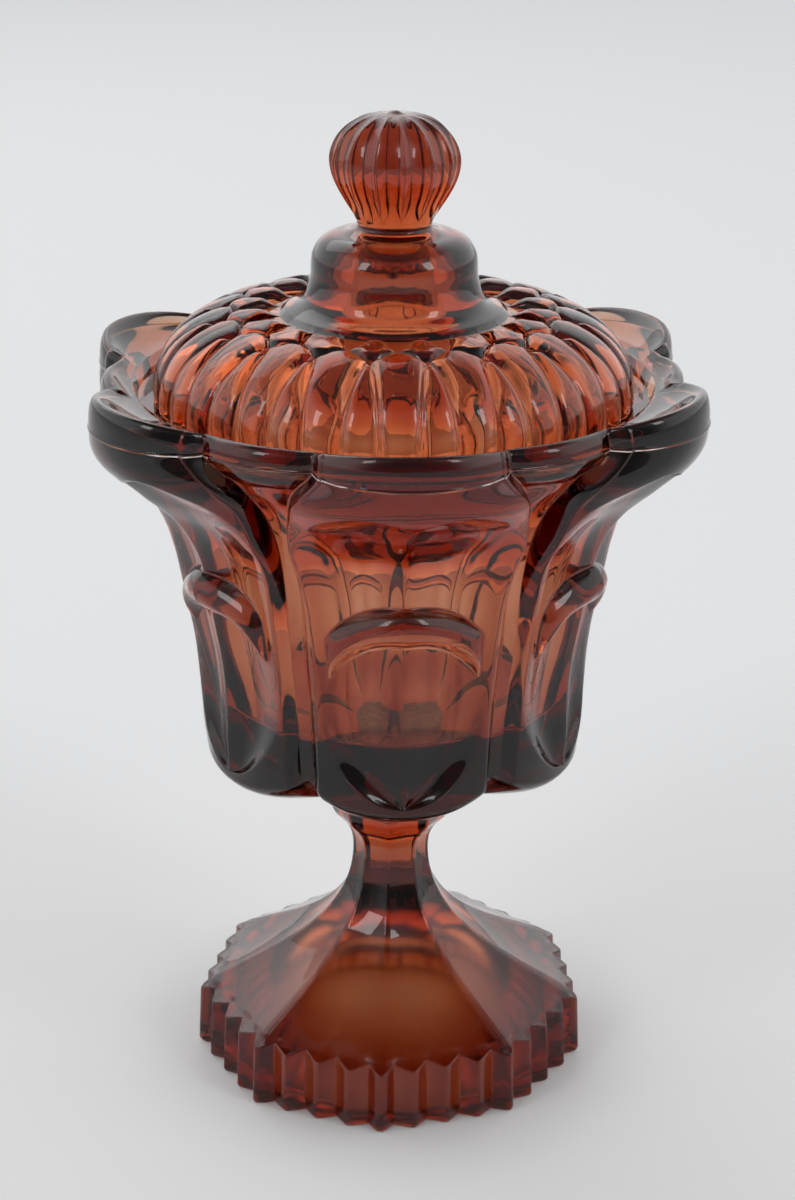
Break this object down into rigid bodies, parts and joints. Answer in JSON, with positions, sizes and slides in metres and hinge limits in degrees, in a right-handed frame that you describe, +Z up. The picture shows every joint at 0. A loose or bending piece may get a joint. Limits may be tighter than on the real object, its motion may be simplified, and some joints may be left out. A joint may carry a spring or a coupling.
{
  "type": "covered compote dish",
  "caption": "Footed pressed-glass compote dish with a petalled bowl on a waisted stem and flared toothed foot, closed by a loose gadrooned lid with a ribbed ball knob.",
  "frame": {"origin": "on the surface that the dish stands on, under the middle of the foot", "axes": "+Z up along the stem, -Y to the front through the middle of a petal, +X to the right"},
  "size_m": [0.1292, 0.1422, 0.22],
  "materials": {
    "dish_glass": "fire-polished pressed glass, amber brown all through",
    "lid_glass": "fire-polished pressed glass, amber brown all through"
  },
  "bodies": {
    "dish": {"foot": "dish_glass", "bowl": "dish_glass"},
    "cover": {"lid": "lid_glass", "lid_knob": "lid_glass"}
  },
  "joints": [
    {"name": "lid_lift", "type": "slide", "parent": "dish", "child": "cover", "axis": [0, 0, 1], "range_m": [0, 0.12]}
  ]
}
